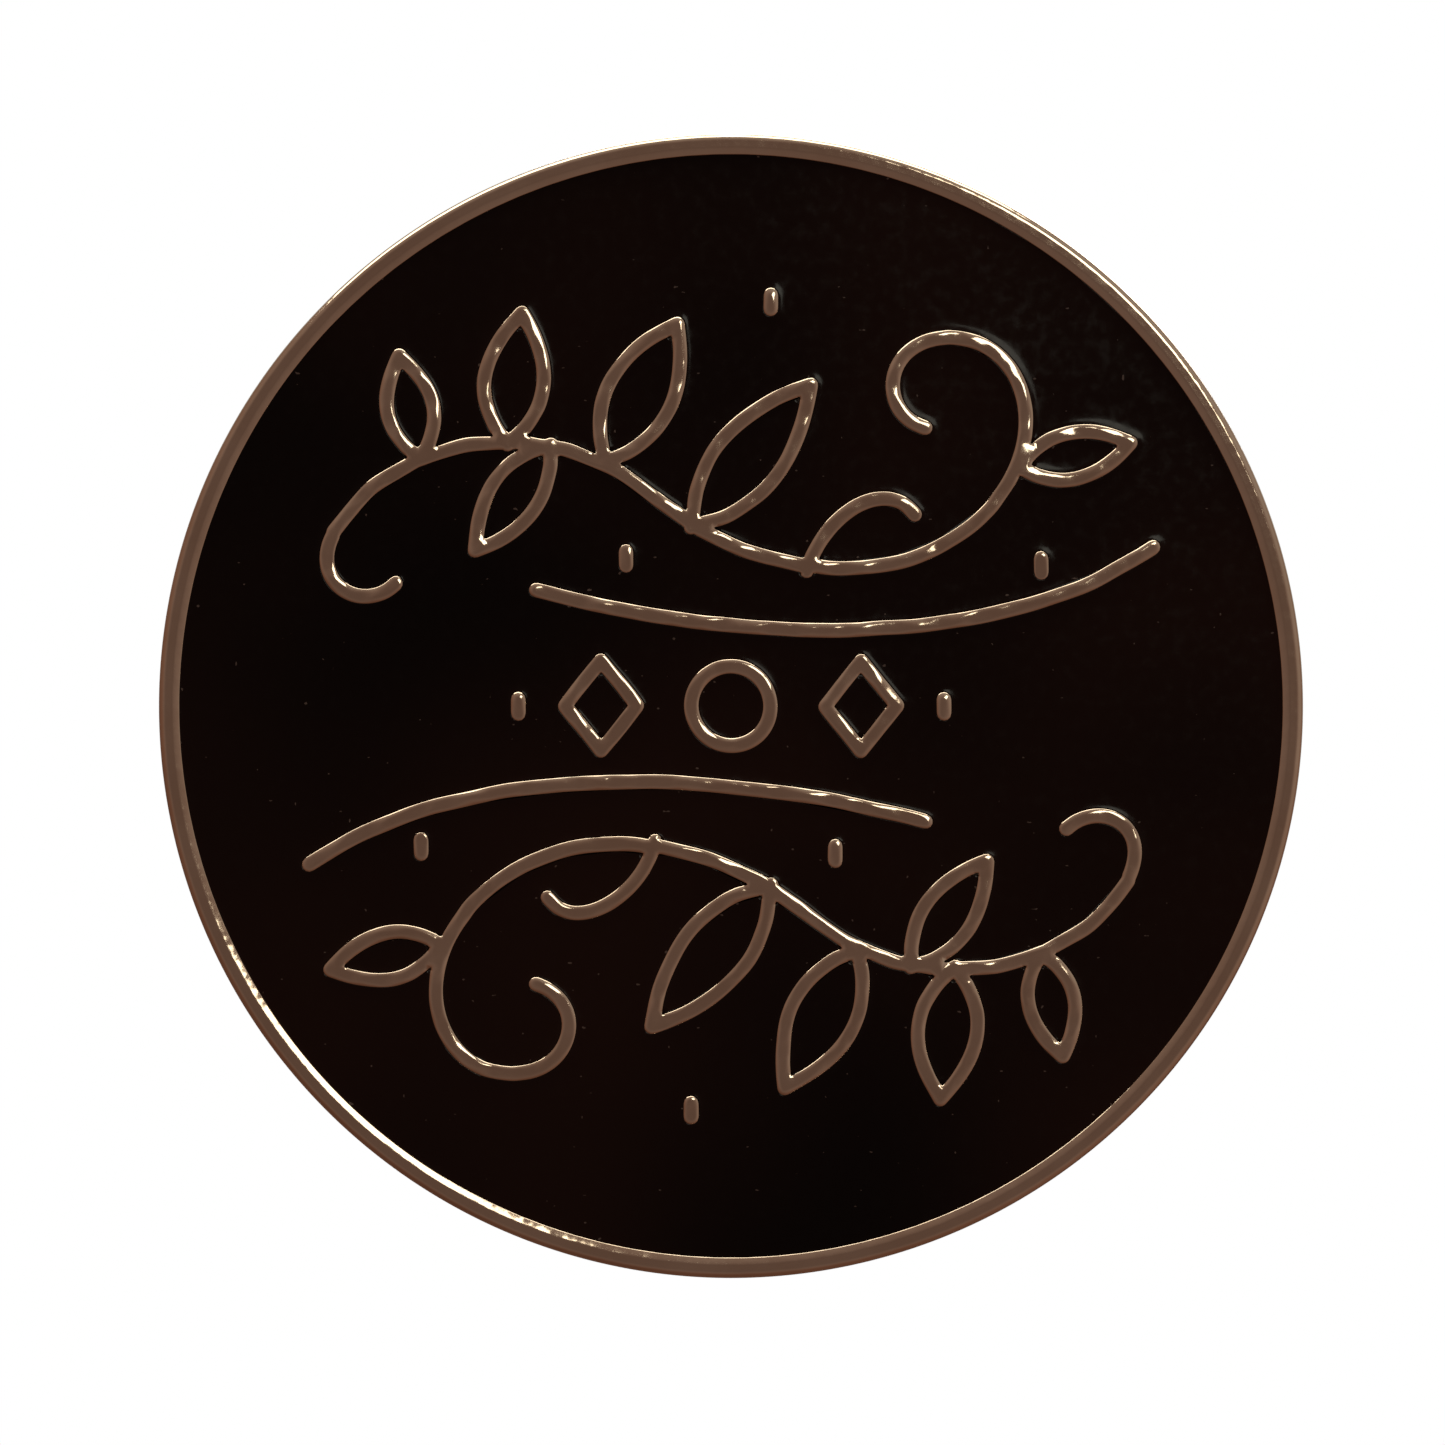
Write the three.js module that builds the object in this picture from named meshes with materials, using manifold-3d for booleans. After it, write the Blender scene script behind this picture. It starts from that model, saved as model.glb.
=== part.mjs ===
// A round enamel pin: a die-struck plate with a raised rim and ornament, black enamel in every
// recess, two posts soldered to the back, and a butterfly clutch on each post.
// Millimetres, +Z up. The face looks along -Y. The plate's back lies in the plane y = 0.

import * as THREE from "three";
import { mergeVertices } from "three/addons/utils/BufferGeometryUtils.js";
import Module from "manifold-3d";

const wasm = await Module();
wasm.setup();

// Plate and enamel
const PLATE_RADIUS = 15.875;
const PLATE_THICKNESS = 1.5;
const PLATE_SIDES = 120;
const RIM_WIDTH = 0.58;
const RIM_ROUNDING = 0.3;
const BACK_CHAMFER = 0.12;
const RECESS_DEPTH = 0.4;
const ENAMEL_THICKNESS = 0.26;
const LINE_WIDTH = 0.44;
const GAP = 0.03;

// Posts
const POST_SPACING = 14;
const POST_RADIUS = 0.575;
const POST_LENGTH = 8.6;
const POST_TIP_LENGTH = 1.2;
const POST_TIP_RADIUS = 0.08;
const FLANGE_RADIUS = 1.5;
const FLANGE_THICKNESS = 0.35;
const GROOVE_RADIUS = 0.4;
const GROOVE_LENGTH = 0.6;
const GROOVE_SLOPE = 0.08;
const SOLDER_WIDTH = 0.65;
const SOLDER_EDGE = 0.04;
const LATHE_SIDES = 28;

// Butterfly clutches. Heights are above the face that meets the cloth.
const CLOTH_SPACE = 5.5;
const BASE_RADIUS = 5.75;
const SHEET = 0.32;
const CRIMP_HEIGHT = 1;
const CRIMP_WIDTH = 0.85;
const CRIMP_WALL = 0.52;
const CRIMP_ROUNDING = 0.2;
const CRIMP_DIP = 0.05;
const FLANGE_CLEARANCE = 0.07;
const ENTRY_RADIUS = 0.68;
const COLLAR_RADIUS = 1.3;
const COLLAR_HEIGHT = 0.7;
const CAP_RADIUS = 3.5;
const CAP_WALL = 0.3;
const CAP_HEIGHT = 2.6;
const CAP_CHAMFER = 0.25;
const EYELET_RADIUS = 1.25;
const EYELET_HOLE = 0.78;
const EYELET_HEIGHT = 3;
const EYELET_TAPER = 0.15;
const WIRE_RADIUS = 0.2;
const WIRE_HEIGHT = 0.95;
const WIRE_SPREAD = 0.62;
const WIRE_REACH = 2.1;
const WIRE_FLARE = { length: 0.7, spread: 0.25 };
const WIRE_BEND = { setback: 0.4, swell: 1.25, armShare: 0.6 };
const WING_SHEET = 0.4;
const WING_PIVOT = { reach: 3.35, height: 1.4 };
const WING_BEND = 4.05;
const WEDGE = { tip: 0.95, end: 1.8, halfWidth: 0.34 };
const TONGUE_START = 2.45;
const TONGUE_HALF_WIDTH = 1.4;
const WING_HALF_WIDTH = 2.7;
const WING_LENGTH = 4.6;
const WING_FLARE = { pull: 0.5, end: 1.7 };
const WING_CORNER = 1.3;
const WING_LEAN = THREE.MathUtils.degToRad(73);
const SLOT_CLEARANCE = 0.15;

const FLOOR = PLATE_THICKNESS - RECESS_DEPTH;
const RECESS_RADIUS = PLATE_RADIUS - RIM_WIDTH;

const plating = new THREE.MeshStandardMaterial({ color: 0xb98468, roughness: 0.25, metalness: 1 });
const enamel = new THREE.MeshStandardMaterial({ color: 0x0b0605, roughness: 0.12, metalness: 0 });
const solder = new THREE.MeshStandardMaterial({ color: 0xa8a6a2, roughness: 0.45, metalness: 1 });
const brass = new THREE.MeshStandardMaterial({ color: 0xc9a263, roughness: 0.3, metalness: 1 });
const springSteel = new THREE.MeshStandardMaterial({ color: 0x8f9093, roughness: 0.3, metalness: 1 });

const pin = new THREE.Group();

// Booleans work on solids; a solid goes back to a geometry before it becomes a mesh.
function toSolid(geometry) {
  const bare = geometry.clone();
  bare.deleteAttribute("normal");
  bare.deleteAttribute("uv");
  const merged = mergeVertices(bare);
  return new wasm.Manifold(new wasm.Mesh({
    numProp: 3,
    vertProperties: new Float32Array(merged.attributes.position.array),
    triVerts: new Uint32Array(merged.index.array),
  }));
}

function toGeometry(solid) {
  const mesh = solid.getMesh();
  const geometry = new THREE.BufferGeometry();
  geometry.setAttribute("position", new THREE.BufferAttribute(mesh.vertProperties, mesh.numProp));
  geometry.setIndex(new THREE.BufferAttribute(mesh.triVerts, 1));
  geometry.computeVertexNormals();
  return geometry;
}

function addPart(parent, name, geometry, material) {
  const mesh = new THREE.Mesh(geometry, material);
  mesh.name = name;
  parent.add(mesh);
  return mesh;
}

// Turned shapes: [radius, height] pairs, from the bottom round to the top, about the Y axis.
function turned(profile, sides = LATHE_SIDES, start = 0) {
  const points = profile.map(([radius, height]) => new THREE.Vector2(radius, height));
  return new THREE.LatheGeometry(points, sides, start);
}

function extruded(shape, depth, curveSegments = 12) {
  return new THREE.ExtrudeGeometry(shape, { depth, bevelEnabled: false, curveSegments });
}

// ---------------------------------------------------------------- ornament
// Drawn on the face: x to the right, y up, with the middle of the pin at the origin.
// A line is a start point and a chain of cubic curves, each [control, control, end].

const TURN_SAMPLES = 32;
const TURN_PER_STEP = 0.25;
const LONGEST_STEP = 1.8;
const CAP_STEPS = 6;

function curvePoints(curve) {
  const tangents = Array.from({ length: TURN_SAMPLES + 1 }, (_, i) => curve.getTangent(i / TURN_SAMPLES));
  let turn = 0;
  for (let i = 1; i < tangents.length; i++) {
    turn += Math.abs(tangents[i - 1].angleTo(tangents[i]));
  }
  const steps = Math.max(Math.ceil(turn / TURN_PER_STEP), Math.ceil(curve.getLength() / LONGEST_STEP));
  return Array.from({ length: steps + 1 }, (_, i) => ({
    at: curve.getPointAt(i / steps),
    along: curve.getTangentAt(i / steps),
  }));
}

// The outline of one line of the ornament: both sides and a round cap at each end.
function lineShape(curves, width) {
  const stations = curves.flatMap((curve, i) => curvePoints(curve).slice(i ? 1 : 0));
  const half = width / 2;
  const offset = ({ at, along }, side) =>
    new THREE.Vector2(at.x - side * half * along.y, at.y + side * half * along.x);
  const cap = ({ at, along }, direction) => Array.from({ length: CAP_STEPS - 1 }, (_, i) => {
    const angle = along.angle() + direction * Math.PI / 2 - Math.PI * (i + 1) / CAP_STEPS;
    return new THREE.Vector2(at.x + half * Math.cos(angle), at.y + half * Math.sin(angle));
  });
  const first = stations[0];
  const last = stations[stations.length - 1];
  return new THREE.Shape([
    ...stations.map((station) => offset(station, 1)),
    ...cap(last, 1),
    ...stations.map((station) => offset(station, -1)).reverse(),
    ...cap(first, -1),
  ]);
}

function chain(start, segments) {
  let from = new THREE.Vector2(...start);
  return segments.map(([c1, c2, end]) => {
    const to = new THREE.Vector2(...end);
    const curve = new THREE.CubicBezierCurve(from, new THREE.Vector2(...c1), new THREE.Vector2(...c2), to);
    from = to;
    return curve;
  });
}

function straight(from, to) {
  return [new THREE.LineCurve(new THREE.Vector2(...from), new THREE.Vector2(...to))];
}

// A leaf is two bowed lines from its base to its tip. Its cell is the space between them.
function leafSides(base, tip, bow) {
  const a = new THREE.Vector2(...base);
  const b = new THREE.Vector2(...tip);
  const across = new THREE.Vector2(a.y - b.y, b.x - a.x).normalize().multiplyScalar(bow * 4 / 3);
  return [1, -1].map((side) => {
    const c1 = a.clone().lerp(b, 0.3).addScaledVector(across, side);
    const c2 = a.clone().lerp(b, 0.62).addScaledVector(across, side);
    return new THREE.CubicBezierCurve(a, c1, c2, b);
  });
}

function leaf(base, tip, bow) {
  const [left, right] = leafSides(base, tip, bow);
  const outline = [
    ...curvePoints(right).map(({ at }) => at),
    ...curvePoints(left).slice(1, -1).map(({ at }) => at).reverse(),
  ];
  return { lines: [[left], [right]], cell: new THREE.Shape(outline) };
}

function diamond(x, y, halfWidth, halfHeight) {
  const corners = [[x + halfWidth, y], [x, y + halfHeight], [x - halfWidth, y], [x, y - halfHeight]];
  return {
    lines: corners.map((corner, i) => straight(corner, corners[(i + 1) % 4])),
    cell: new THREE.Shape(corners.map((corner) => new THREE.Vector2(...corner))),
  };
}

function ring(x, y, radius) {
  return {
    lines: [0, 1, 2, 3].map((quarter) => [
      new THREE.ArcCurve(x, y, radius, quarter * Math.PI / 2, (quarter + 1) * Math.PI / 2),
    ]),
    cell: new THREE.Shape().absarc(x, y, radius, 0, 2 * Math.PI),
  };
}

// The spray: everything above the middle row. A half turn about the middle gives the spray below.
const STEM = [[-9.3, 3.4], [
  [[-10.2, 2.5], [-11.9, 3.4], [-10.9, 5.0]],
  [[-9.2, 7.6], [-4.9, 8.3], [-2.0, 5.7]],
  [[0.3, 3.7], [4.6, 2.9], [7.0, 5.3]],
  [[8.9, 7.2], [8.4, 10.0], [6.2, 10.2]],
  [[4.3, 10.3], [3.9, 8.2], [5.4, 7.7]],
]];
const SWASH = [[-5.4, 3.2], [
  [[-0.6, 1.9], [7.2, 1.2], [11.7, 4.4]],
]];
const TENDRIL = [[2.1, 3.75], [
  [[2.5, 5.3], [4.3, 6.4], [5.1, 5.3]],
]];
const LEAVES = {
  first: { base: [-8.6, 6.85], tip: [-9.2, 9.7], bow: 0.64 },
  second: { base: [-6.2, 7.25], tip: [-5.8, 10.9], bow: 0.82 },
  third: { base: [-3.5, 6.75], tip: [-1.5, 10.6], bow: 0.9 },
  fourth: { base: [-1.1, 4.95], tip: [2.2, 8.9], bow: 0.9 },
  under: { base: [-5.0, 7.25], tip: [-7.1, 4.3], bow: 0.68 },
  end: { base: [8.0, 6.6], tip: [11.1, 7.3], bow: 0.64 },
};
const DOTS = [[1.1, 11.2], [8.6, 3.9], [-2.9, 4.1]];
const DOT_LENGTH = 0.2;
const RING_RADIUS = 1.1;
const DIAMOND = { x: 3.6, halfWidth: 1.0, halfHeight: 1.25 };
const MIDDLE_DOT = 5.9;

const turnedHalf = ([x, y]) => [-x, -y];
const unchanged = (point) => point;
const cells = { ring: ring(0, 0, RING_RADIUS) };
const lines = [];
for (const [spray, place] of [["top", unchanged], ["bottom", turnedHalf]]) {
  for (const [start, segments] of [STEM, SWASH, TENDRIL]) {
    lines.push(chain(place(start), segments.map((segment) => segment.map(place))));
  }
  for (const [name, { base, tip, bow }] of Object.entries(LEAVES)) {
    cells[`leaf_${spray}_${name}`] = leaf(place(base), place(tip), bow);
  }
  const [x] = place([DIAMOND.x, 0]);
  const side = spray === "top" ? "right" : "left";
  cells[`diamond_${side}`] = diamond(x, 0, DIAMOND.halfWidth, DIAMOND.halfHeight);
  for (const dot of [...DOTS, [MIDDLE_DOT, 0]]) {
    const [atX, atY] = place(dot);
    lines.push(straight([atX, atY - DOT_LENGTH], [atX, atY + DOT_LENGTH]));
  }
}
lines.push(...Object.values(cells).flatMap((cell) => cell.lines));

// All the lines as one solid between two heights above the plate's back.
function raisedLines(width, from, to) {
  return lines
    .map((line) => toSolid(extruded(lineShape(line, width), to - from)).translate([0, 0, from]))
    .reduce((whole, line) => whole.add(line));
}

// ---------------------------------------------------------------- plate and enamel
// Built facing +Z, then turned so that the face looks along -Y.
const face = new THREE.Group();
face.rotation.x = Math.PI / 2;
pin.add(face);

const halfSide = Math.PI / PLATE_SIDES;
const rounding = [0, 1, 2, 3].map((i) => {
  const angle = i * Math.PI / 6;
  return [
    PLATE_RADIUS - RIM_ROUNDING * (1 - Math.cos(angle)),
    PLATE_THICKNESS - RIM_ROUNDING * (1 - Math.sin(angle)),
  ];
});
const plateBody = turned([
  [0, 0],
  [PLATE_RADIUS - BACK_CHAMFER, 0],
  [PLATE_RADIUS, BACK_CHAMFER],
  ...rounding,
  [RECESS_RADIUS, PLATE_THICKNESS],
  [RECESS_RADIUS, FLOOR],
  [0, FLOOR],
], PLATE_SIDES, halfSide).rotateX(Math.PI / 2);
const plate = toSolid(plateBody).add(raisedLines(LINE_WIDTH, FLOOR - GAP, PLATE_THICKNESS));
addPart(face, "base_plate", toGeometry(plate), plating);

const enamelBottom = FLOOR + GAP;
const slab = toSolid(turned([
  [0, enamelBottom],
  [RECESS_RADIUS - GAP, enamelBottom],
  [RECESS_RADIUS - GAP, enamelBottom + ENAMEL_THICKNESS],
  [0, enamelBottom + ENAMEL_THICKNESS],
], PLATE_SIDES, halfSide).rotateX(Math.PI / 2));
const pools = slab.subtract(raisedLines(LINE_WIDTH + 2 * GAP, FLOOR, PLATE_THICKNESS));
let field = pools;
for (const [name, { cell }] of Object.entries(cells)) {
  const inside = toSolid(extruded(cell, PLATE_THICKNESS));
  addPart(face, `enamel_${name}`, toGeometry(pools.intersect(inside)), enamel);
  field = field.subtract(inside);
}
addPart(face, "enamel_field", toGeometry(field), enamel);

// ---------------------------------------------------------------- posts
// Turned pieces below have their axis along Y, the way the posts point.
const grooveMiddle = CLOTH_SPACE + WIRE_HEIGHT;
const grooveLow = grooveMiddle - GROOVE_LENGTH / 2;
const grooveHigh = grooveMiddle + GROOVE_LENGTH / 2;

const postProfile = [
  [0, GAP],
  [FLANGE_RADIUS, GAP],
  [FLANGE_RADIUS, FLANGE_THICKNESS],
  [POST_RADIUS, FLANGE_THICKNESS],
  [POST_RADIUS, grooveLow - GROOVE_SLOPE],
  [GROOVE_RADIUS, grooveLow],
  [GROOVE_RADIUS, grooveHigh],
  [POST_RADIUS, grooveHigh + GROOVE_SLOPE],
  [POST_RADIUS, POST_LENGTH - POST_TIP_LENGTH],
  [POST_TIP_RADIUS, POST_LENGTH],
  [0, POST_LENGTH],
];

// A concave fillet of solder from the plate's back up to the flange's edge.
const solderInner = FLANGE_RADIUS + GAP;
const solderFillet = [0, 1, 2, 3].map((i) => {
  const angle = i * Math.PI / 6;
  return [
    solderInner + SOLDER_WIDTH * (1 - Math.sin(angle)),
    GAP + (FLANGE_THICKNESS - GAP) * (1 - Math.cos(angle)) + SOLDER_EDGE,
  ];
});
const solderProfile = [
  [solderInner, GAP],
  [solderInner + SOLDER_WIDTH, GAP],
  ...solderFillet,
  [solderInner, GAP],
];

// ---------------------------------------------------------------- butterfly clutch
// The sheet disc that meets the cloth. Its edge is rolled over the cap's flange to hold it.
const rollInner = BASE_RADIUS - CRIMP_WIDTH;
const baseProfile = [
  [ENTRY_RADIUS, 0],
  [BASE_RADIUS - CRIMP_ROUNDING, 0],
  [BASE_RADIUS, CRIMP_ROUNDING],
  [BASE_RADIUS, CRIMP_HEIGHT - CRIMP_ROUNDING],
  [BASE_RADIUS - CRIMP_ROUNDING, CRIMP_HEIGHT],
  [rollInner, CRIMP_HEIGHT - CRIMP_DIP],
  [rollInner, CRIMP_HEIGHT - SHEET],
  [BASE_RADIUS - CRIMP_WALL, CRIMP_HEIGHT - SHEET],
  [BASE_RADIUS - CRIMP_WALL, SHEET],
  [COLLAR_RADIUS, SHEET],
  [COLLAR_RADIUS, COLLAR_HEIGHT],
  [ENTRY_RADIUS, COLLAR_HEIGHT],
  [ENTRY_RADIUS, 0],
];

// The domed cap, open below, with an eyelet for the post and a slot on each side for a wing.
const flangeReach = BASE_RADIUS - CRIMP_WALL - FLANGE_CLEARANCE;
const capInner = CAP_RADIUS - CAP_WALL;
const capProfile = [
  [capInner, SHEET + GAP],
  [flangeReach, SHEET + GAP],
  [flangeReach, CRIMP_HEIGHT - SHEET - GAP],
  [CAP_RADIUS, CRIMP_HEIGHT - SHEET - GAP],
  [CAP_RADIUS, CAP_HEIGHT - CAP_CHAMFER],
  [CAP_RADIUS - CAP_CHAMFER, CAP_HEIGHT],
  [EYELET_RADIUS, CAP_HEIGHT],
  [EYELET_RADIUS - EYELET_TAPER, EYELET_HEIGHT],
  [EYELET_HOLE, EYELET_HEIGHT],
  [EYELET_HOLE, CAP_HEIGHT - CAP_WALL],
  [capInner, CAP_HEIGHT - CAP_WALL],
  [capInner, SHEET + GAP],
];

function capGeometry() {
  const slot = new THREE.BoxGeometry(
    2 * (CAP_RADIUS + 1),
    WING_SHEET + 2 * SLOT_CLEARANCE,
    2 * (TONGUE_HALF_WIDTH + SLOT_CLEARANCE),
  ).translate(0, WING_PIVOT.height, 0);
  const middle = new THREE.BoxGeometry(capInner, CAP_HEIGHT, 2 * CAP_RADIUS).translate(0, CAP_HEIGHT / 2, 0);
  return toGeometry(toSolid(turned(capProfile)).subtract(toSolid(slot).subtract(toSolid(middle))));
}

// One squeeze wing, on the +X side: a tongue that reaches in through the slot to a narrow wedge
// beside the post, and a blade bent up and out for the finger.
function wingGeometry() {
  const flat = (shape) => extruded(shape, WING_SHEET).translate(0, 0, -WING_SHEET / 2).rotateX(-Math.PI / 2);
  const tongue = new THREE.Shape([
    new THREE.Vector2(WEDGE.tip, -WEDGE.halfWidth),
    new THREE.Vector2(WEDGE.end, -WEDGE.halfWidth),
    new THREE.Vector2(TONGUE_START, -TONGUE_HALF_WIDTH),
    new THREE.Vector2(WING_BEND, -TONGUE_HALF_WIDTH),
    new THREE.Vector2(WING_BEND, TONGUE_HALF_WIDTH),
    new THREE.Vector2(TONGUE_START, TONGUE_HALF_WIDTH),
    new THREE.Vector2(WEDGE.end, WEDGE.halfWidth),
    new THREE.Vector2(WEDGE.tip, WEDGE.halfWidth),
  ]);
  const blade = new THREE.Shape()
    .moveTo(0, -TONGUE_HALF_WIDTH)
    .quadraticCurveTo(WING_FLARE.pull, -WING_HALF_WIDTH, WING_FLARE.end, -WING_HALF_WIDTH)
    .lineTo(WING_LENGTH - WING_CORNER, -WING_HALF_WIDTH)
    .quadraticCurveTo(WING_LENGTH, -WING_HALF_WIDTH, WING_LENGTH, WING_CORNER - WING_HALF_WIDTH)
    .lineTo(WING_LENGTH, WING_HALF_WIDTH - WING_CORNER)
    .quadraticCurveTo(WING_LENGTH, WING_HALF_WIDTH, WING_LENGTH - WING_CORNER, WING_HALF_WIDTH)
    .lineTo(WING_FLARE.end, WING_HALF_WIDTH)
    .quadraticCurveTo(WING_FLARE.pull, WING_HALF_WIDTH, 0, TONGUE_HALF_WIDTH);
  const bend = new THREE.CylinderGeometry(WING_SHEET / 2, WING_SHEET / 2, 2 * TONGUE_HALF_WIDTH, 12);
  return toGeometry([
    flat(tongue),
    bend.rotateX(Math.PI / 2).translate(WING_BEND, 0, 0),
    extruded(blade, WING_SHEET, 5).translate(0, 0, -WING_SHEET / 2).rotateX(-Math.PI / 2)
      .rotateZ(WING_LEAN).translate(WING_BEND, 0, 0),
  ].map(toSolid).reduce((whole, piece) => whole.add(piece))).translate(0, WING_PIVOT.height, 0);
}

// A hairpin of spring wire whose two arms grip the post's groove.
function springGeometry() {
  const bendAt = WIRE_REACH - WIRE_SPREAD;
  const half = (side) => [
    new THREE.Vector3(WIRE_REACH, 0, side * (WIRE_SPREAD + WIRE_FLARE.spread)),
    new THREE.Vector3(WIRE_REACH - WIRE_FLARE.length, 0, side * WIRE_SPREAD),
    new THREE.Vector3(0, 0, side * WIRE_SPREAD),
    new THREE.Vector3(-bendAt * WIRE_BEND.armShare, 0, side * WIRE_SPREAD),
  ];
  const bend = [0, 1, 2, 3, 4].map((i) => {
    const angle = Math.PI / 2 + i * Math.PI / 4;
    const reach = WIRE_BEND.swell * WIRE_SPREAD;
    return new THREE.Vector3(
      reach * Math.cos(angle) - bendAt - WIRE_BEND.setback, 0, reach * Math.sin(angle),
    );
  });
  const path = new THREE.CatmullRomCurve3([...half(1), ...bend, ...half(-1).reverse()]);
  const section = new THREE.Shape().absarc(0, 0, WIRE_RADIUS, 0, 2 * Math.PI);
  return new THREE.ExtrudeGeometry(section, { steps: 26, curveSegments: 4, extrudePath: path })
    .translate(0, WIRE_HEIGHT, 0);
}

// ---------------------------------------------------------------- back of the pin
for (const [side, sign] of [["left", -1], ["right", 1]]) {
  const x = sign * POST_SPACING / 2;
  addPart(pin, `post_${side}`, turned(postProfile), plating).position.x = x;
  addPart(pin, `solder_${side}`, turned(solderProfile), solder).position.x = x;

  const clutch = new THREE.Group();
  clutch.position.set(x, CLOTH_SPACE, 0);
  clutch.rotation.y = Math.PI / 2;
  pin.add(clutch);
  addPart(clutch, `clutch_base_${side}`, turned(baseProfile), brass);
  addPart(clutch, `clutch_cap_${side}`, capGeometry(), brass);
  addPart(clutch, `grip_spring_${side}`, springGeometry(), springSteel);
  addPart(clutch, `wing_lower_${side}`, wingGeometry(), brass);
  addPart(clutch, `wing_upper_${side}`, wingGeometry(), brass).rotation.y = Math.PI;
}

export default pin;
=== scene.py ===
"""An enamel pin: struck plate, black enamel, two posts and two butterfly clutches, in metres, +Z up."""

import math

import bmesh
import bpy
from mathutils import Matrix, Vector, noise
from mathutils.bvhtree import BVHTree
from mathutils.geometry import delaunay_2d_cdt


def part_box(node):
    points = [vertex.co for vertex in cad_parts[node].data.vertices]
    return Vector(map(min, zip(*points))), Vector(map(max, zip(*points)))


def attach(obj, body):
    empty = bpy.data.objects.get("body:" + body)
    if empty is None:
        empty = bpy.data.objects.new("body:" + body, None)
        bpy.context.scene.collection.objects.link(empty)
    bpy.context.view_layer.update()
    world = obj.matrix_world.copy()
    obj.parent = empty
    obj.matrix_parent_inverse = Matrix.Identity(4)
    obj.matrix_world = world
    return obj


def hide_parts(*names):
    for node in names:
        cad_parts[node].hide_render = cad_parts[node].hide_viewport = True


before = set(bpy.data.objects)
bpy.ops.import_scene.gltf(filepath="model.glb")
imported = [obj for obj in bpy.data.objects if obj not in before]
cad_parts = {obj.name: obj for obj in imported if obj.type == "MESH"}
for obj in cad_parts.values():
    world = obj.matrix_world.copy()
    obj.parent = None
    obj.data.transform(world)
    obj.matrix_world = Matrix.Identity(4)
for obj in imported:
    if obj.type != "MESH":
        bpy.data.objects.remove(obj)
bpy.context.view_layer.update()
MM = 0.001

# ------------------------------------------------------------------------------------------------
# The plate. A brass disc struck in a die, which raises the rim and the lines of the ornament on its
# front. It is tumbled and plated in rose gold, and both leave every raised edge softly rounded.

PLATE_FRONT, PLATE_BACK = (corner.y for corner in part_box("base_plate"))
PLATE_RADIUS = 15.875 * MM
RIM_ROUNDING = 0.2 * MM
RIM_FLAT = 0.02 * MM
RIM_INSIDE = PLATE_RADIUS - 0.6 * MM
OUTER_WALL = PLATE_RADIUS - 0.5 * MM
BACK_ROUNDING = 0.12 * MM
BACK_MARGIN = 1.0 * MM
RIM_SLOPE_WIDTH, RIM_SLOPE_DROP, RIM_SLOPE_CURVE = 0.2 * MM, 0.058 * MM, 1.25
RIDGE_WIDTH, RIDGE_DROP = 0.2 * MM, 0.125 * MM
DENT_LENGTH, DENT_DEPTH = 0.55 * MM, 0.07 * MM
RIDGE_ROWS = [d * MM for d in (0.015, 0.035, 0.06, 0.09, 0.125, 0.165, 0.2)]
WOBBLE = 0.03 * MM
WOBBLE_LENGTH = 1.3 * MM
WOBBLE_SEED = 7
LONGEST_EDGE = 0.14 * MM
SHORTEST_EDGE = 0.025 * MM
FLATNESS = 0.01 * MM
WELD = 1e-4 * MM
ROW_CLEARANCE = 0.9
CORNER = math.radians(40)
OUTWARD = Vector((0, -1, 0))


class Socket:
    """A socket of a material's node tree. Python's own arithmetic on it adds Math nodes."""

    def __init__(self, tree, output=None):
        self.tree, self.output = tree, output

    def feed(self, socket, value):
        if isinstance(value, Socket):
            self.tree.links.new(value.output, socket)
        else:
            socket.default_value = value

    def node(self, kind, settings=None, sockets=None, out=0):
        made = self.tree.nodes.new("ShaderNode" + kind)
        for name, value in (settings or {}).items():
            setattr(made, name, value)
        for name, value in (sockets or {}).items():
            self.feed(made.inputs[name], value)
        return Socket(self.tree, made.outputs[out])

    def maths(self, operation, *values):
        return self.node("Math", {"operation": operation}, dict(enumerate(values)))

    def __add__(self, other):
        return self.maths("ADD", self, other)

    def __sub__(self, other):
        return self.maths("SUBTRACT", self, other)

    def __rsub__(self, other):
        return self.maths("SUBTRACT", other, self)

    def __mul__(self, other):
        return self.maths("MULTIPLY", self, other)

    def __pow__(self, other):
        return self.maths("POWER", self, other)

    __radd__, __rmul__ = __add__, __mul__

    def step(self, low, high):
        """0 below low and 1 above high, with a smooth ramp between."""
        return self.node("MapRange", {"interpolation_type": "SMOOTHSTEP"},
                         {"Value": self, "From Min": low, "From Max": high})

    def between(self, first, second):
        """The colour this far from the first to the second."""
        return self.node("Mix", {"data_type": "RGBA"}, {0: self, 6: first, 7: second}, out=2)

    def noise(self, size, detail=2, distortion=0):
        """Soft noise over this place, with features of about this size in metres."""
        return self.node("TexNoise", None, {"Vector": self, "Scale": 1 / size, "Detail": detail,
                                            "Distortion": distortion})

    def bump(self, depth, strength=1):
        return self.node("Bump", None, {"Height": self, "Distance": depth, "Strength": strength})


def new_material(name, looks):
    """A material. looks takes the place on the piece and gives what the surface shader is fed."""
    made = bpy.data.materials.new(name)
    made.use_nodes = True
    place = Socket(made.node_tree).node("TexCoord", out="Object")
    shader = made.node_tree.nodes["Principled BSDF"]
    for socket, value in looks(place).items():
        place.feed(shader.inputs[socket], value)
    return made


def add_piece(bm, name, material, body, slot, *nodes):
    """Makes the finished mesh an object that moves with a body and stands for CAD nodes."""
    mesh = bpy.data.meshes.new(name)
    bm.to_mesh(mesh)
    bm.free()
    mesh.shade_smooth()
    mesh.materials.append(material)
    piece = bpy.data.objects.new(name, mesh)
    bpy.context.scene.collection.objects.link(piece)
    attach(piece, body)
    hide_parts(*nodes)


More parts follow.
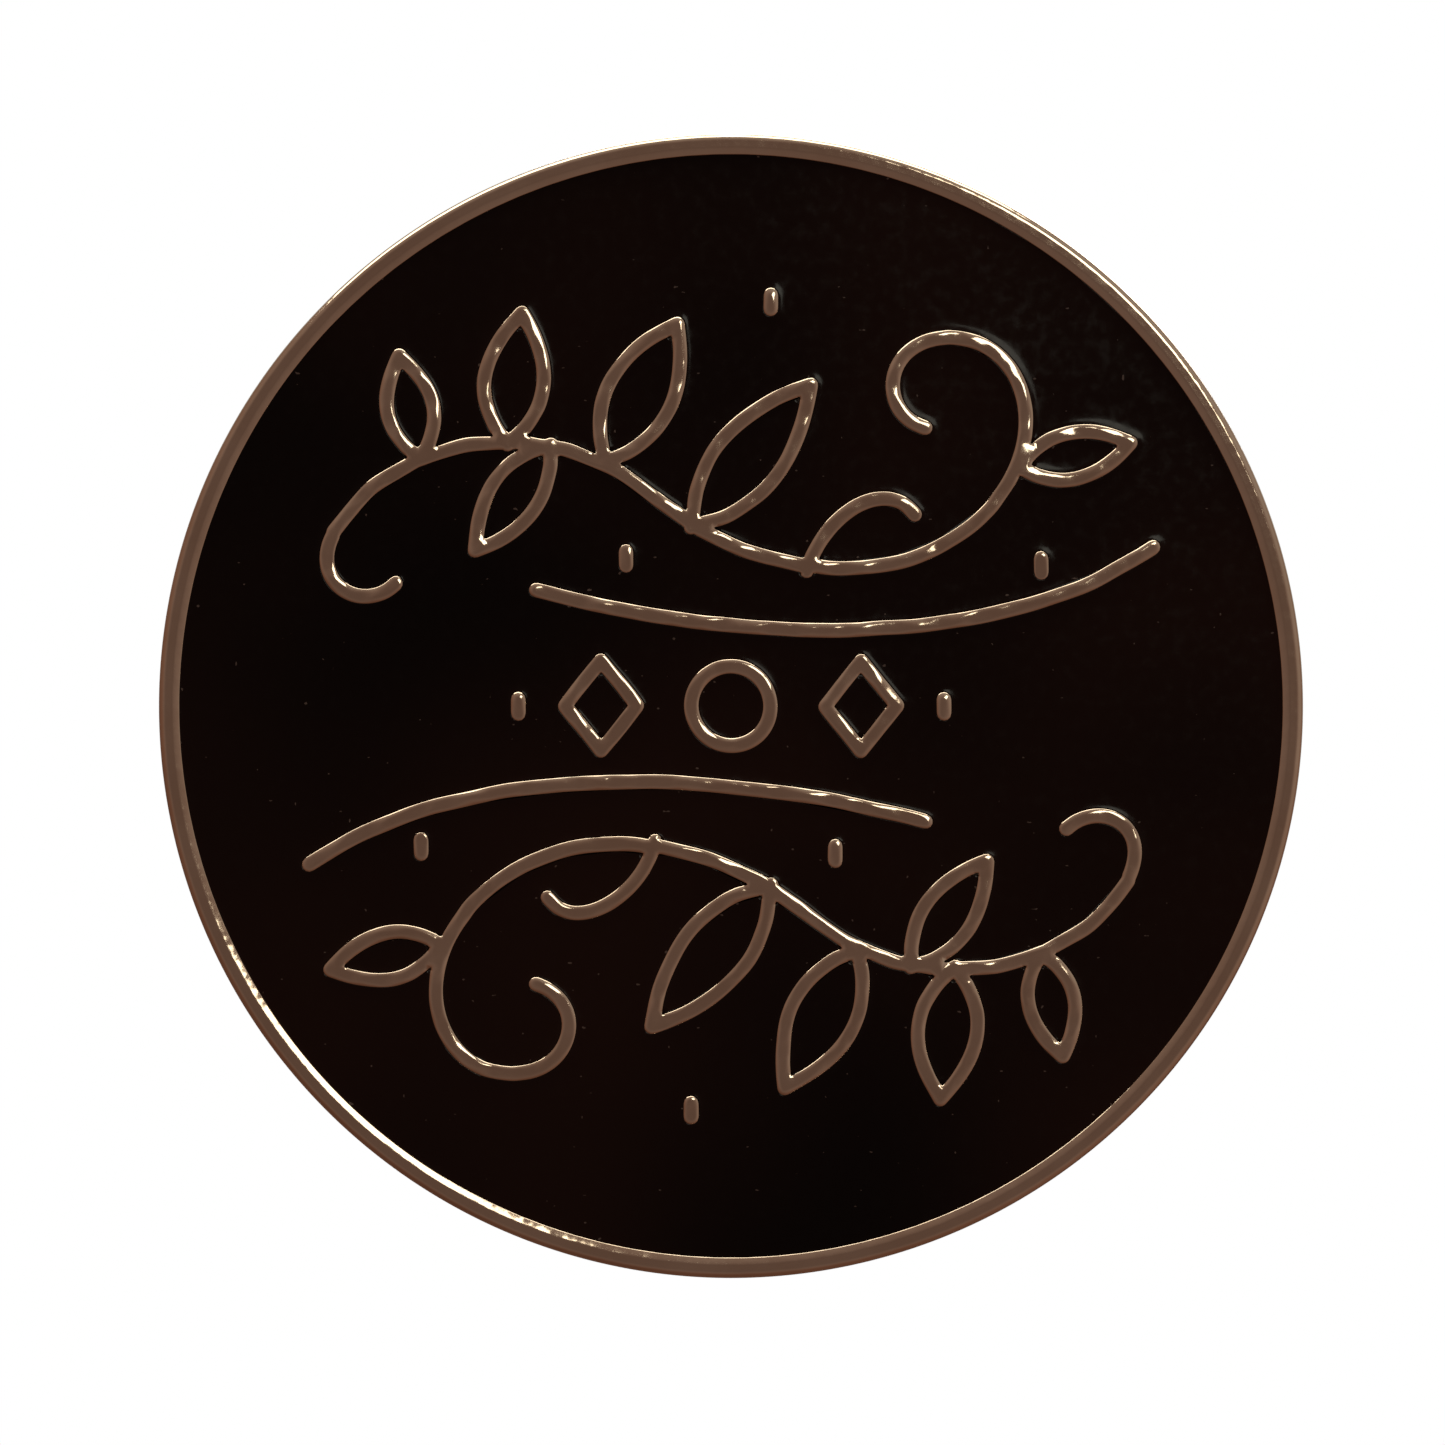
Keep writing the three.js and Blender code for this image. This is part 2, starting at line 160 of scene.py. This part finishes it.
def cad_copy(node):
    """The CAD node's mesh as one joined surface."""
    bm = bmesh.new()
    bm.from_mesh(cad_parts[node].data)
    bmesh.ops.remove_doubles(bm, verts=bm.verts, dist=WELD)
    return bm


def faces_at(bm, depth):
    """The faces that lie in the plane at this depth."""
    return [f for f in bm.faces if all(abs(v.co.y - depth) < FLATNESS for v in f.verts)]


def verts_of(faces):
    """The faces' corners, each once, in an order that doesn't change from run to run."""
    return list(dict.fromkeys(v for f in faces for v in f.verts))


def outline_of(faces):
    """The edges that only one of the faces touches."""
    inside = set(faces)
    edges = dict.fromkeys(e for f in faces for e in f.edges)
    return [e for e in edges if sum(f in inside for f in e.link_faces) == 1]


def radius_of(vert):
    return math.hypot(vert.co.x, vert.co.z)


def smooth_outline(bm, depth, rounds=4):
    """Drops the outline's stub edges, then splits its long ones. Each new point lies on the cubic
    through the two points on either side of it, except at a corner, where the line runs straight on."""
    while stubs := [e for e in outline_of(faces_at(bm, depth)) if e.calc_length() < SHORTEST_EDGE]:
        bmesh.ops.collapse(bm, edges=stubs)
    for _ in range(rounds):
        outline = outline_of(faces_at(bm, depth))
        edges_at = {}
        for edge in outline:
            for vert in edge.verts:
                edges_at.setdefault(vert, []).append(edge)

        def beyond(vert, edge):
            straight_on = 2 * vert.co - edge.other_vert(vert).co
            others = [e.other_vert(vert).co for e in edges_at[vert] if e is not edge]
            if len(others) == 1 and (others[0] - vert.co).angle(straight_on - vert.co, 0) < CORNER:
                return others[0]
            return straight_on

        places = {}
        for edge in outline:
            if edge.calc_length() > LONGEST_EDGE:
                a, b = edge.verts
                places[edge] = (9 * (a.co + b.co) - beyond(a, edge) - beyond(b, edge)) / 16
        for edge, place in places.items():
            bmesh.utils.edge_split(edge, edge.verts[0], 0.5)[1].co = place


def steps_round(faces):
    """The outline's edges as pairs of points, each pair in the order in which the faces' own corners
    run, so that the faces lie to the left of every step."""
    inside = set(faces)
    loops = [next(l for l in edge.link_loops if l.face in inside) for edge in outline_of(faces)]
    return [(loop.vert, loop.link_loop_next.vert) for loop in loops]


def inward_from(faces):
    """For each point of the outline, the direction square to it that goes into the faces."""
    inward = {}
    for start, end in steps_round(faces):
        left = OUTWARD.cross((end.co - start.co).normalized())
        for vert in (start, end):
            inward[vert] = inward.get(vert, Vector()) + left
    return {vert: direction.normalized() for vert, direction in inward.items()}


# Without a seed of its own, the noise vector would be a different one in every run.
noise.seed_set(WOBBLE_SEED)


def waver(place):
    """Moves a place sideways a little, as a hand-drawn line wavers. Metal and enamel move alike."""
    return place + noise.noise_vector(place * Vector((1, 0, 1)) / WOBBLE_LENGTH) * Vector((1, 0, 1)) * WOBBLE


def shape_top(bm, faces, rows, drop, is_wall):
    """Replaces flat faces by a fine surface, sunk or raised as it nears a wall of the outline. rows are
    the distances from the outline at which it has a row of points."""
    outline, steps, inward = outline_of(faces), set(steps_round(faces)), inward_from(faces)
    plane = faces[0].verts[0].co.y
    corners, strips = [], []
    for edge in filter(is_wall, outline):
        strips.append(range(len(corners), len(corners) + 4))
        a, b = (vert.co for vert in edge.verts)
        corners += [a + OUTWARD * MM, b + OUTWARD * MM, b - OUTWARD * MM, a - OUTWARD * MM]
    walls = BVHTree.FromPolygons(corners, [tuple(s) for s in strips])
    flat = bmesh.new()
    copies = {vert: flat.verts.new(vert.co) for vert in verts_of(faces)}
    for face in faces:
        flat.faces.new([copies[vert] for vert in face.verts])
    flat.normal_update()
    area = BVHTree.FromBMesh(flat)
    flat.free()

    def is_inside(place):
        return area.ray_cast(place + OUTWARD * MM, -OUTWARD)[0] is not None

    def to_wall(place):
        return walls.find_nearest(place)[3]

    # A point of a row is left out where another wall is nearer than the row's own.
    verts = list(inward)
    places = [vert.co.copy() for vert in verts]
    for distance in rows:
        for vert, direction in inward.items():
            place = vert.co + direction * distance
            if is_inside(place) and to_wall(place) > ROW_CLEARANCE * distance:
                places.append(place)

    # The triangulation works in millimetres, well above its own rounding.
    number = {vert: i for i, vert in enumerate(verts)}
    edges = [tuple(number[vert] for vert in edge.verts) for edge in outline]
    made, _, triangles, sources, _, _ = delaunay_2d_cdt(
        [Vector((p.x, p.z)) / MM for p in places], edges, [], 0, 1e-5)
    bmesh.ops.delete(bm, geom=faces, context="FACES_ONLY")
    top = []
    for place, source in zip(made, sources):
        known = [i for i in source if i < len(verts)]
        top.append(verts[known[0]] if known else bm.verts.new((place.x * MM, plane, place.y * MM)))
    for triangle in triangles:
        corners = [top[i] for i in triangle]
        beyond_outline = any((corners[i], corners[i - 1]) in steps for i in range(3))
        if not beyond_outline and is_inside(sum((c.co for c in corners), Vector()) / 3):
            face = bm.faces.new(corners)
            face.normal_update()
            if face.normal.dot(OUTWARD) < 0:
                face.normal_flip()
    for vert in top:
        vert.co.y += drop(vert, to_wall(vert.co))
    bmesh.ops.delete(bm, geom=[e for e in bm.edges if not e.link_faces], context="EDGES")
    bmesh.ops.delete(bm, geom=[v for v in bm.verts if not v.link_faces], context="VERTS")


def struck_drop(vert, distance):
    """The lines are worn into soft, dented ridges. The rim only slopes a little towards the enamel."""
    if radius_of(vert) > RIM_INSIDE:
        return RIM_SLOPE_DROP * (1 - min(distance / RIM_SLOPE_WIDTH, 1)) ** RIM_SLOPE_CURVE
    share = 1 - min(distance / RIDGE_WIDTH, 1)
    dent = DENT_DEPTH * (1 + noise.noise(vert.co / DENT_LENGTH)) / 2 * (1 - share ** 2)
    return RIDGE_DROP * (1 - math.sqrt(1 - share ** 2)) + dent


def arc(middle_radius, middle_y, size, start, end, steps):
    """Points of a rounded edge, as (radius, y), between two angles in degrees; 0 points outwards."""
    angles = [math.radians(start + (end - start) * i / steps) for i in range(steps + 1)]
    return [(middle_radius + size * math.cos(a), middle_y + size * math.sin(a)) for a in angles]


def rose_plating(place):
    cloud = place.noise(2.2 * MM, 3)
    grain = place.noise(0.16 * MM, 3)
    speck = place.noise(0.05 * MM, 1)
    depth = place.node("SeparateXYZ", None, {"Vector": place}, out="Y")
    back = depth.step(-0.12 * MM, -0.05 * MM) * (1 - depth.step(0.01 * MM, 0.03 * MM))
    cells = place.node("TexVoronoi", None, {"Vector": place, "Scale": 1 / (0.32 * MM)})
    dents = place.noise(0.42 * MM, 1)
    height = cloud * 0.5 + dents * 0.35 + grain * 0.04 + speck * 0.005 + back * cells * 0.8
    return {
        "Base Color": cloud.step(0.3, 0.75).between((0.8, 0.62, 0.46, 1), (0.88, 0.71, 0.54, 1)),
        "Metallic": 1.0,
        "Roughness": 0.06 + grain * 0.07 + back * 0.18,
        "Normal": height.bump(0.05 * MM, 0.55),
    }


plating = new_material("rose_plating", rose_plating)

plate = cad_copy("base_plate")
top = set(faces_at(plate, PLATE_FRONT))
bmesh.ops.delete(plate, context="FACES", geom=[
    f for f in plate.faces if f not in top and any(radius_of(v) > OUTER_WALL for v in f.verts)
    or all(v.co.y > PLATE_BACK - FLATNESS for v in f.verts)])
smooth_outline(plate, PLATE_FRONT)
top = faces_at(plate, PLATE_FRONT)
for vert in verts_of(top):
    if radius_of(vert) < RIM_INSIDE:
        vert.co = waver(vert.co)
shape_top(plate, top, RIDGE_ROWS, struck_drop, lambda edge: radius_of(edge.verts[0]) < OUTER_WALL)

# The side is grown ring by ring from the front's edge: a narrow flat, the rim's rounding, the back's.
side_profile = ([(PLATE_RADIUS - RIM_ROUNDING - RIM_FLAT, PLATE_FRONT)]
                + arc(PLATE_RADIUS - RIM_ROUNDING, PLATE_FRONT + RIM_ROUNDING, RIM_ROUNDING, -90, 0, 10)
                + arc(PLATE_RADIUS - BACK_ROUNDING, PLATE_BACK - BACK_ROUNDING, BACK_ROUNDING, 0, 90, 4)
                + [(PLATE_RADIUS - BACK_MARGIN, PLATE_BACK)])
ring = [e for e in plate.edges if e.is_boundary and radius_of(e.verts[0]) > OUTER_WALL]
for radius, y in side_profile:
    grown = bmesh.ops.extrude_edge_only(plate, edges=ring)["geom"]
    ring = [g for g in grown if isinstance(g, bmesh.types.BMEdge)]
    for vert in {v for e in ring for v in e.verts}:
        vert.co = Vector((vert.co.x, 0, vert.co.z)).normalized() * radius + Vector((0, y, 0))
bmesh.ops.contextual_create(plate, geom=ring)
bmesh.ops.recalc_face_normals(plate, faces=plate.faces)
add_piece(plate, "struck_plate", plating, "plate", "rose_plating", "base_plate")

# ------------------------------------------------------------------------------------------------
# The enamel. A warm black paste is filled into each recess and baked. It sinks a little below the
# lines, stays glossy, and creeps up every wall of metal.

CREEP = 0.032 * MM
CREEP_LENGTH = 0.12 * MM
CREEP_ROWS = [d * MM for d in (0.03, 0.07, 0.12, 0.2, 0.32, 0.5)]
OVERLAP = 0.045 * MM


def black_enamel(place):
    sag = place.noise(3.4 * MM, 1)
    ripple = place.noise(0.9 * MM, 2)
    # Painted sheen: broad, faintly lighter patches painted into the enamel's black colour stand in for soft
    # reflections of the room on the glossy surface.
    painted_sheen = place.noise(13 * MM, 1).step(0.25, 0.75)
    specks = place.noise(0.15 * MM, 0).step(0.845, 0.88)
    dust = place.noise(0.35 * MM, 2).step(0.35, 0.8)
    return {
        "Base Color": specks.between(painted_sheen.between((0.0015, 0.0004, 0.0002, 1), (0.015, 0.005, 0.003, 1)),
                                     (0.09, 0.06, 0.05, 1)),
        "Roughness": 0.1 + dust * 0.12 + specks * 0.3,
        "Specular IOR Level": 0.18,
        "Normal": (sag + ripple * 0.07 + specks * 0.012).bump(0.12 * MM, 0.5),
    }


enamel = new_material("black_enamel", black_enamel)
for node in sorted(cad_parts):
    if node.startswith("enamel_"):
        pool = cad_copy(node)
        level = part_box(node)[0].y
        smooth_outline(pool, level)
        top = faces_at(pool, level)
        for vert, direction in inward_from(top).items():
            vert.co = waver(vert.co - direction * OVERLAP)
        shape_top(pool, top, CREEP_ROWS, lambda vert, d: -CREEP * math.exp(-d / CREEP_LENGTH),
                  lambda edge: True)
        add_piece(pool, "fired_" + node, enamel, "plate", "black_enamel", node)

# ------------------------------------------------------------------------------------------------
# The posts. Each is a nail turned from wire, with a wide foot and a groove that the clutch's spring
# drops into, plated with the plate. A ring of solder holds its foot to the plate's back.

POST_OFFSET = 7 * MM
POST_RADIUS, FOOT_RADIUS, FOOT_TOP, FOOT_BOTTOM = 0.575 * MM, 1.5 * MM, 0.35 * MM, 0.03 * MM
GROOVE_RADIUS, GROOVE_LOW, GROOVE_HIGH, GROOVE_SLOPE = 0.4 * MM, 6.15 * MM, 6.75 * MM, 0.08 * MM
SHANK_TOP, POST_TOP, TIP_RADIUS = 7.4 * MM, 8.6 * MM, 0.08 * MM
TIP_ROUNDING = 0.6 * TIP_RADIUS
POST_STEPS, POST_SOFTENING = 48, 0.04 * MM
SOLDER_INNER, SOLDER_OUTER, SOLDER_TOP, SOLDER_EDGE = 1.5 * MM, 2.18 * MM, 0.36 * MM, 0.02 * MM
FLOW_START, FLOW_DEPTH, FLOW_LENGTH = SOLDER_INNER + 0.05 * MM, 0.16 * MM, 0.9 * MM


def turned(profile, x, steps=72, soften=0.0):
    """A profile of (radius, y) points turned about the line through x, with its sharp edges rounded."""
    bm = bmesh.new()
    verts = [bm.verts.new((x + radius, y, 0)) for radius, y in profile]
    edges = [bm.edges.new(pair) for pair in zip(verts, verts[1:])]
    bmesh.ops.spin(bm, geom=verts + edges, cent=(x, 0, 0), axis=(0, 1, 0), angle=math.tau, steps=steps,
                   use_merge=True)
    bmesh.ops.remove_doubles(bm, verts=bm.verts, dist=WELD)
    bmesh.ops.recalc_face_normals(bm, faces=bm.faces)
    if soften:
        soften_edges(bm, soften)
    return bm


def soften_edges(bm, size, sharp=math.radians(30)):
    edges = [e for e in bm.edges if e.is_manifold and e.calc_face_angle() > sharp]
    bmesh.ops.bevel(bm, geom=edges, offset=size, segments=3, profile=0.5, affect="EDGES", material=-1)


def solder_looks(place):
    flow = place.noise(0.5 * MM, 3)
    pits = place.noise(0.12 * MM, 2)
    return {
        "Base Color": flow.step(0.3, 0.7).between((0.42, 0.4, 0.38, 1), (0.6, 0.58, 0.55, 1)),
        "Metallic": 1.0,
        "Roughness": 0.3 + pits * 0.3,
        "Normal": (flow + pits * 0.25).bump(0.08 * MM, 0.7),
    }


solder = new_material("solder", solder_looks)
for side, x in (("left", -POST_OFFSET), ("right", POST_OFFSET)):
    add_piece(turned([
        (0, FOOT_BOTTOM), (FOOT_RADIUS, FOOT_BOTTOM), (FOOT_RADIUS, FOOT_TOP), (POST_RADIUS, FOOT_TOP),
        (POST_RADIUS, GROOVE_LOW - GROOVE_SLOPE), (GROOVE_RADIUS, GROOVE_LOW), (GROOVE_RADIUS, GROOVE_HIGH),
        (POST_RADIUS, GROOVE_HIGH + GROOVE_SLOPE), (POST_RADIUS, SHANK_TOP),
        *arc(TIP_RADIUS - TIP_ROUNDING, POST_TOP - TIP_ROUNDING, TIP_ROUNDING, 25, 90, 4), (0, POST_TOP),
    ], x, POST_STEPS, POST_SOFTENING), f"post_pin_{side}", plating, "plate", "rose_plating", f"post_{side}")
    width, rise = SOLDER_OUTER - SOLDER_INNER, SOLDER_TOP - FOOT_BOTTOM
    ring = turned([
        (SOLDER_INNER, FOOT_BOTTOM), (SOLDER_OUTER, FOOT_BOTTOM),
        *[(SOLDER_OUTER - width * math.sin(a), FOOT_BOTTOM + rise * (1 - math.cos(a)) + SOLDER_EDGE)
          for a in (i * math.pi / 16 for i in range(9))],
        (SOLDER_INNER, FOOT_BOTTOM),
    ], x)
    for vert in ring.verts:
        away = Vector((vert.co.x - x, 0, vert.co.z))
        if away.length > FLOW_START:
            vert.co -= away.normalized() * FLOW_DEPTH * max(noise.noise(vert.co / FLOW_LENGTH), 0)
    add_piece(ring, f"solder_ring_{side}", solder, "plate", "solder", f"solder_{side}")

# ------------------------------------------------------------------------------------------------
# The butterfly clutches. Each has a pressed brass base whose edge is rolled over the flange of a
# domed cap, two wings that reach in through the cap's slots, and a hairpin spring on the post.

CLOTH_SPACE = 5.5 * MM
ENTRY_RADIUS = 0.68 * MM
BASE_RADIUS, ROLL_INNER, ROLL_WALL, ROLL_ROUNDING = 5.75 * MM, 4.9 * MM, 0.52 * MM, 0.2 * MM
BASE_HEIGHT, SHEET, LIP_DIP = 1.0 * MM, 0.32 * MM, 0.05 * MM
COLLAR_RADIUS, COLLAR_HEIGHT = 1.3 * MM, 0.7 * MM
CAP_RADIUS, CAP_INNER, CAP_TOP, CAP_CEILING, CAP_ROUNDING = 3.5 * MM, 3.2 * MM, 2.6 * MM, 2.3 * MM, 0.25 * MM
FLANGE_RADIUS, FLANGE_LOW, FLANGE_HIGH = 5.16 * MM, 0.35 * MM, 0.65 * MM
EYELET_FOOT, EYELET_RADIUS, EYELET_HOLE, EYELET_TOP = 1.25 * MM, 1.1 * MM, 0.78 * MM, 3.0 * MM
SLOT_LOW, SLOT_HIGH, SLOT_HALF_ANGLE = 1.05 * MM, 1.75 * MM, math.radians(26.3)
WIRE_RADIUS, WIRE_HEIGHT, WIRE_SPREAD, WIRE_REACH = 0.2 * MM, 0.95 * MM, 0.62 * MM, 2.1 * MM
WIRE_FLARE, WIRE_FLARE_LENGTH, WIRE_BEND_SHIFT, WIRE_BEND = 0.25 * MM, 0.7 * MM, 0.4 * MM, 1.25 * WIRE_SPREAD
CLUTCH_STEPS, SHEET_SOFTENING, WING_SOFTENING = 96, 0.05 * MM, 0.07 * MM
WING_FLATNESS = math.radians(2)


def clutch_brass(place):
    stain = place.noise(2.6 * MM, 3)
    drawn = place.noise(0.35 * MM, 3)
    fine = place.noise(0.06 * MM, 1)
    return {
        "Base Color": stain.step(0.32, 0.72).between((0.66, 0.45, 0.2, 1), (0.83, 0.63, 0.33, 1)),
        "Metallic": 1.0,
        "Roughness": 0.2 + drawn * 0.14 + stain * 0.06,
        "Normal": (drawn * 0.5 + fine * 0.06 + stain).bump(0.03 * MM, 0.6),
    }


def spring_steel(place):
    drawn = place.noise(0.2 * MM, 2)
    return {
        "Base Color": drawn.between((0.5, 0.49, 0.48, 1), (0.68, 0.67, 0.66, 1)),
        "Metallic": 1.0,
        "Roughness": 0.2 + drawn * 0.2,
        "Normal": drawn.bump(0.01 * MM, 0.6),
    }


def at(profile):
    """A clutch's profile, lifted to where the clutch sits at rest."""
    return [(radius, CLOTH_SPACE + height) for radius, height in profile]


brass = new_material("clutch_brass", clutch_brass)
steel = new_material("spring_wire", spring_steel)
for side, x in (("left", -POST_OFFSET), ("right", POST_OFFSET)):
    body = f"clutch_{side}"
    edge_middle = BASE_RADIUS - ROLL_ROUNDING
    base = turned(at([
        (ENTRY_RADIUS, 0), *arc(edge_middle, ROLL_ROUNDING, ROLL_ROUNDING, -90, 0, 6),
        *arc(edge_middle, BASE_HEIGHT - ROLL_ROUNDING, ROLL_ROUNDING, 0, 90, 6),
        (ROLL_INNER, BASE_HEIGHT - LIP_DIP), (ROLL_INNER, BASE_HEIGHT - SHEET),
        (BASE_RADIUS - ROLL_WALL, BASE_HEIGHT - SHEET), (BASE_RADIUS - ROLL_WALL, SHEET),
        (COLLAR_RADIUS, SHEET), (COLLAR_RADIUS, COLLAR_HEIGHT), (ENTRY_RADIUS, COLLAR_HEIGHT),
        (ENTRY_RADIUS, 0)]), x, CLUTCH_STEPS, SHEET_SOFTENING)
    add_piece(base, f"pressed_base_{side}", brass, body, "clutch_brass", f"clutch_base_{side}")

    cap = turned(at([
        (CAP_INNER, FLANGE_LOW), (FLANGE_RADIUS, FLANGE_LOW), (FLANGE_RADIUS, FLANGE_HIGH),
        (CAP_RADIUS, FLANGE_HIGH), (CAP_RADIUS, SLOT_LOW), (CAP_RADIUS, SLOT_HIGH),
        *arc(CAP_RADIUS - CAP_ROUNDING, CAP_TOP - CAP_ROUNDING, CAP_ROUNDING, 0, 90, 5),
        (EYELET_FOOT, CAP_TOP), (EYELET_RADIUS, EYELET_TOP), (EYELET_HOLE, EYELET_TOP),
        (EYELET_HOLE, CAP_CEILING), (CAP_INNER, CAP_CEILING), (CAP_INNER, SLOT_HIGH),
        (CAP_INNER, SLOT_LOW), (CAP_INNER, FLANGE_LOW)]), x, CLUTCH_STEPS)

    # The two slots for the wings are cut through the wall, and their rims are closed.
    wall = []
    for face in cap.faces:
        middle = face.calc_center_median()
        around = abs(math.atan2(middle.x - x, abs(middle.z)))
        if SLOT_LOW < middle.y - CLOTH_SPACE < SLOT_HIGH and around < SLOT_HALF_ANGLE:
            wall.append(face)
    bmesh.ops.delete(cap, geom=wall, context="FACES")
    for sign in (-1, 1):
        rims = [e for e in cap.edges if e.is_boundary and sign * e.verts[0].co.z > 0]
        bmesh.ops.bridge_loops(cap, edges=rims)
    bmesh.ops.recalc_face_normals(cap, faces=cap.faces)
    soften_edges(cap, SHEET_SOFTENING)
    add_piece(cap, f"domed_cap_{side}", brass, body, "clutch_brass", f"clutch_cap_{side}")

    # The wire runs along one side of the post, round the far end, and back along the other side.
    turn_at = WIRE_REACH - WIRE_SPREAD
    half = [(WIRE_REACH, WIRE_SPREAD + WIRE_FLARE), (WIRE_REACH - WIRE_FLARE_LENGTH, WIRE_SPREAD),
            (0, WIRE_SPREAD), (-0.6 * turn_at, WIRE_SPREAD)]
    bend = [(WIRE_BEND * math.cos(a) - turn_at - WIRE_BEND_SHIFT, WIRE_BEND * math.sin(a))
            for a in (math.pi / 2 + i * math.pi / 6 for i in range(7))]
    wire = bpy.data.curves.new(f"hairpin_{side}", "CURVE")
    wire.dimensions, wire.bevel_depth, wire.bevel_resolution, wire.resolution_u = "3D", WIRE_RADIUS, 5, 8
    wire.use_fill_caps = True
    line = wire.splines.new("NURBS")
    stations = half + bend + [(reach, -spread) for reach, spread in reversed(half)]
    line.points.add(len(stations) - 1)
    for point, (reach, spread) in zip(line.points, stations):
        point.co = (x + spread, CLOTH_SPACE + WIRE_HEIGHT, -reach, 1)
    line.order_u, line.use_endpoint_u = 3, True
    wire.materials.append(steel)
    hairpin = bpy.data.objects.new(f"hairpin_{side}", wire)
    bpy.context.scene.collection.objects.link(hairpin)
    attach(hairpin, body)
    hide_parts(f"grip_spring_{side}")

    for place in ("lower", "upper"):
        wing = cad_copy(f"wing_{place}_{side}")
        bmesh.ops.dissolve_limit(wing, angle_limit=WING_FLATNESS, verts=wing.verts, edges=wing.edges)
        soften_edges(wing, WING_SOFTENING)
        add_piece(wing, f"squeeze_wing_{place}_{side}", brass, f"wing_{place}_{side}", "clutch_brass",
                  f"wing_{place}_{side}")

# ------------------------------------------------------------------------------------------------
# The room. A white surround, a pale floor below, a softbox at the upper right in front, a long light
# above, and a light behind for the pin's back. What the metal mirrors from the rest of the room is
# dim and warm.

FLOOR_HEIGHT = -100 * MM
FLOOR_RADIUS = 300 * MM
LIGHT_DISTANCE = 300 * MM
ROOM_GLOW, BEHIND_GLOW = 0.115, 0.42

floor = bmesh.new()
bmesh.ops.create_circle(floor, cap_ends=True, segments=96, radius=FLOOR_RADIUS,
                        matrix=Matrix.Translation((0, 0, FLOOR_HEIGHT)))
floor_mesh = bpy.data.meshes.new("floor")
floor.to_mesh(floor_mesh)
floor.free()
floor_object = bpy.data.objects.new("floor", floor_mesh)
bpy.context.scene.collection.objects.link(floor_object)
floor_mesh.materials.append(new_material("pale_floor", lambda place: {
    "Base Color": (0.1, 0.1, 0.1, 1),
    "Roughness": 0.9,
    "Emission Color": place.node("VectorMath", {"operation": "LENGTH"}, {0: place}, out="Value")
                           .step(0.1, 0.3).between((0.82, 0.81, 0.8, 1), (1, 1, 1, 1)),
    "Emission Strength": 1.0,
}))
floor_object.visible_glossy = False
floor_object.visible_diffuse = False

world = bpy.data.worlds.new("room")
bpy.context.scene.world = world
world.use_nodes = True
room = Socket(world.node_tree)
direction = room.node("TexCoord", out="Generated")
apart = direction.node("SeparateXYZ", None, {"Vector": direction}).output.node
right, behind, up = (Socket(world.node_tree, apart.outputs[axis]) for axis in "XYZ")
aside = (1 - behind * behind) ** 0.5
glow = ROOM_GLOW + (aside.step(0.1, 0.75) * (0.09 + 0.05 * right + 0.1 * up) * (1 - behind.step(-0.2, 0.6))
                    + BEHIND_GLOW * behind.step(0.1, 0.8) * (up + 0.2 * right).step(-0.4, 0.8))
warm = aside.step(0.3, 0.95).between((1, 0.68, 0.58, 1), (1, 0.5, 0.35, 1))
dim = glow.step(0.1, 0.36).between(warm, (1, 0.94, 0.86, 1))
seen = room.node("LightPath", out="Is Camera Ray")
lit = room.node("Background", None, {"Color": dim, "Strength": glow})
white = room.node("Background", None, {"Color": (1, 1, 1, 1), "Strength": 1})
mixed = room.node("MixShader", None, {0: seen, 1: lit, 2: white})
room.feed(world.node_tree.nodes["World Output"].inputs["Surface"], mixed)


def add_light(name, azimuth, off_axis, width, height, radiance, colour):
    """An area light facing the pin, its height pointing away from the line straight in front of the
    pin. off_axis is its angle from that line, and azimuth its direction round it."""
    a, o = math.radians(azimuth), math.radians(off_axis)
    towards = Vector((math.sin(o) * math.cos(a), -math.cos(o), math.sin(o) * math.sin(a)))
    sideways = Vector((math.sin(a), 0, -math.cos(a)))
    data = bpy.data.lights.new(name, "AREA")
    data.shape, data.size, data.size_y = "RECTANGLE", width, height
    data.energy = radiance * math.pi * width * height
    data.color = colour
    light = bpy.data.objects.new(name, data)
    bpy.context.scene.collection.objects.link(light)
    light.location = towards * LIGHT_DISTANCE
    light.rotation_euler = Matrix((sideways, towards.cross(sideways), towards)).transposed().to_euler()
    light.visible_camera = False


add_light("softbox", azimuth=49, off_axis=28, width=78 * MM, height=120 * MM, radiance=2.8,
          colour=(1, 1, 0.86))
add_light("long_light", azimuth=97, off_axis=86, width=450 * MM, height=200 * MM, radiance=2.7,
          colour=(1, 1, 0.88))
add_light("back_light", azimuth=70, off_axis=148, width=200 * MM, height=140 * MM, radiance=5,
          colour=(1, 0.97, 0.92))

# ------------------------------------------------------------------------------------------------
# The camera looks straight at the pin's front from 96 mm away. It stands a little below the middle
# and to the left of it, so that the pin sits a little high and to the right in the frame.

CAMERA_PLACE = Vector((-0.235, -96.0, -0.457)) * MM
LENS, SENSOR_WIDTH, NEAREST = 85, 36, 5 * MM

camera_data = bpy.data.cameras.new("camera")
camera_data.lens, camera_data.sensor_width = LENS, SENSOR_WIDTH
camera_data.clip_start = NEAREST
camera = bpy.data.objects.new("camera", camera_data)
bpy.context.scene.collection.objects.link(camera)
camera.location = CAMERA_PLACE
camera.rotation_euler = (math.radians(90), 0, 0)
bpy.context.scene.camera = camera
bpy.context.scene.view_settings.view_transform = "Standard"
